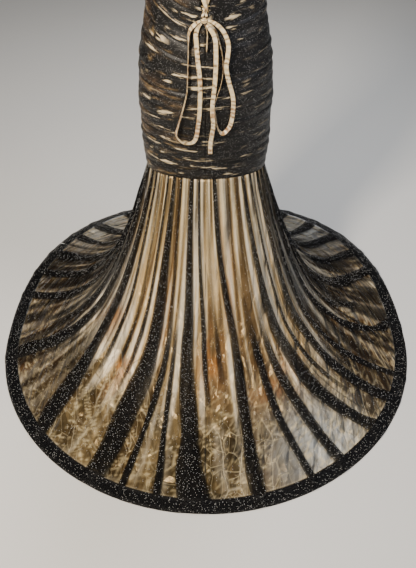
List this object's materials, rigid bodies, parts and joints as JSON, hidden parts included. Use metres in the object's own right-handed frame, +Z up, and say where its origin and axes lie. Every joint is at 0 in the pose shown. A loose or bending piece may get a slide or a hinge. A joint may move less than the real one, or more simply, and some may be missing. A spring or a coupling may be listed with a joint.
{
  "type": "mermaid dress",
  "caption": "Strapless mermaid dress as worn: ruched sheath laced at the back, flared satin skirt with a short train under a gathered tulle overlay.",
  "frame": {"origin": "centre of the waist, where the wearer holds the dress up, 1140 mm above the floor that the train lies on", "axes": "+Z up, the back of the dress and its train towards -Y, the wearer's left towards -X and right towards +X"},
  "size_m": [1.4061, 1.4376, 1.4242],
  "materials": {
    "ruched_tulle": "ruched black tulle over champagne satin",
    "champagne_satin": "creased satin with a soft sheen",
    "black_tulle": "fine glitter net, sheer in one layer and dark in folds",
    "champagne_ribbon": "double-faced satin ribbon"
  },
  "bodies": {
    "root": {"sheath_back_right": "ruched_tulle", "sheath_back_left": "ruched_tulle", "sheath_front_right": "ruched_tulle", "sheath_front_left": "ruched_tulle", "skirt_back_left": "champagne_satin", "skirt_back_right": "champagne_satin", "skirt_front_right": "champagne_satin", "skirt_front_left": "champagne_satin", "overlay_left": "black_tulle", "overlay_back": "black_tulle", "overlay_right": "black_tulle", "overlay_front": "black_tulle", "lace_loop_left_1": "champagne_ribbon", "lace_loop_right_1": "champagne_ribbon", "lace_loop_left_2": "champagne_ribbon", "lace_loop_right_2": "champagne_ribbon", "lace_loop_left_3": "champagne_ribbon", "lace_loop_right_3": "champagne_ribbon", "lace_loop_left_4": "champagne_ribbon", "lace_loop_right_4": "champagne_ribbon", "lace_loop_left_5": "champagne_ribbon", "lace_loop_right_5": "champagne_ribbon", "lacing": "champagne_ribbon", "bow_knot": "champagne_ribbon", "bow_loop_left": "champagne_ribbon", "bow_loop_right": "champagne_ribbon", "bow_tail_long": "champagne_ribbon", "bow_tail_short": "champagne_ribbon"}
  },
  "joints": []
}
